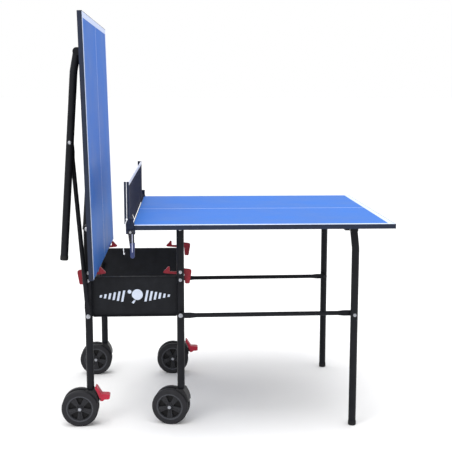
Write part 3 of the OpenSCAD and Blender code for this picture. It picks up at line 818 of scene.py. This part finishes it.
def weld_beads():
    """Rings of weld where the chassis' cross tubes meet the side panels."""
    low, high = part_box("chassis_cross_tubes")
    r = (high.z - low.z) / 2
    z = (high.z + low.z) / 2
    steps = 60
    around = [2 * math.pi * i / 8 for i in range(8)]
    bm = bmesh.new()
    for x in (low.x + r, high.x - r):
        for y in (low.y + WELD_INSET, high.y - WELD_INSET):
            at = Matrix.Translation((x, y, z)) @ Matrix.Rotation(math.pi / 2, 4, "X")
            rings = []
            for k in range(steps):
                fat = WELD_R + WELD_RIPPLE * math.sin(k * 2.6)
                turn = at @ Matrix.Rotation(2 * math.pi * k / steps, 4, "Z")
                points = [Vector((r + fat * math.cos(t), 0, fat * math.sin(t))) for t in around]
                rings.append([bm.verts.new(turn @ p) for p in points])
            for k in range(steps):
                join_rings(bm, rings[k], rings[(k + 1) % steps])
    finish_mesh("cross_tube_welds", bm, MATERIALS["frame_paint"], "chassis")


# ---- Scene ----

FLOOR_HALF = 200            # metres, so that its edge is at the horizon
AREA_LIGHTS = (             # name, place, aim, watts, width
    ("key", (-2.0, -3.0, 3.0), (0, 0, 0.7), 40, 1.8),
    ("top", (0.3, -0.4, 3.4), (0.4, 0, 0.76), 45, 2.2),
)
SUN_STRENGTH = 1.0
SUN_SPREAD = 1.1            # radians, for soft shadows
STUDIO_BRIGHT = (1, 1, 1)
STUDIO_DIM = (0.6, 0.6, 0.62)

CAMERA_AT = (-0.142, -3.528, 1.208)
CAMERA_YAW = -0.047         # to the right of +Y
CAMERA_PITCH = -0.1457      # down
CAMERA_ROLL = 0.0005
LENS = 72
SENSOR = 36


def pale_floor():
    s = FLOOR_HALF
    mesh = bpy.data.meshes.new("floor")
    mesh.from_pydata([(-s, -s, 0), (s, -s, 0), (s, s, 0), (-s, s, 0)], [], [(0, 1, 2, 3)])
    mat, tree, shader = new_material("floor_pale", (0.9, 0.9, 0.9), 0.9, Specular_IOR_Level=0.1)
    cloud = noise(tree, place(tree), 3, 3)
    set_colour(tree, shader, ramp(tree, cloud, 0.3, 0.7, (0.89, 0.89, 0.895), (0.91, 0.91, 0.912)))
    mesh.materials.append(mat)
    put("floor", mesh)


def studio_light():
    """Soft light all round, dimmer towards +X, which the folded half's playing surface faces."""
    world = bpy.data.worlds.new("studio")
    bpy.context.scene.world = world
    world.use_nodes = True
    tree = world.node_tree
    where = add(tree, "ShaderNodeTexCoord").outputs["Generated"]
    across = add(tree, "ShaderNodeSeparateXYZ", {0: where}).outputs["X"]
    dimmed = ramp(tree, across, 0.45, 1.0, STUDIO_BRIGHT, STUDIO_DIM)
    background = tree.nodes["Background"]
    tree.links.new(dimmed, background.inputs["Color"])
    background.inputs["Strength"].default_value = 1.0
    for name, at, aim, watts, width in AREA_LIGHTS:
        light = bpy.data.lights.new(name, "AREA")
        light.energy = watts
        light.size = width
        lamp = put(name, light)
        lamp.location = at
        lamp.rotation_euler = (Vector(aim) - Vector(at)).to_track_quat("-Z", "Y").to_euler()
    sun = bpy.data.lights.new("overhead", "SUN")
    sun.energy = SUN_STRENGTH
    sun.angle = SUN_SPREAD
    put("overhead", sun)
    bpy.context.scene.view_settings.view_transform = "Standard"


def camera():
    """Facing the table's near long side, from a little left of its middle and turned right."""
    made = bpy.data.cameras.new("camera")
    made.lens = LENS
    made.sensor_width = SENSOR
    cam = put("camera", made)
    cam.location = CAMERA_AT
    turn = (
        Matrix.Rotation(CAMERA_YAW, 4, "Z")
        @ Matrix.Rotation(math.pi / 2 + CAMERA_PITCH, 4, "X")
        @ Matrix.Rotation(CAMERA_ROLL, 4, "Z")
    )
    cam.rotation_euler = turn.to_euler()
    bpy.context.scene.camera = cam


# ---- Making ----

camera()
pale_floor()
studio_light()
paint_cad_nodes()
for name, node in NODES.items():
    if not name.endswith(("_edging", "_board")):
        soften_edges(node)
for side, matrix in (("right", Matrix.Identity(4)), ("left", TO_LEFT)):
    court_lines(side, matrix)
    backing(side, matrix)
    screws(side, matrix)
net()
cord_end()
for side in ("near", "far"):
    panel_motif(side)
    lever_trim(side)
for corner in ("near_left", "near_right", "far_left", "far_right"):
    tyres(corner)
    latch_ribs(corner)
for corner in ("near_left", "far_right"):
    pedal_ribs(corner)
weld_beads()
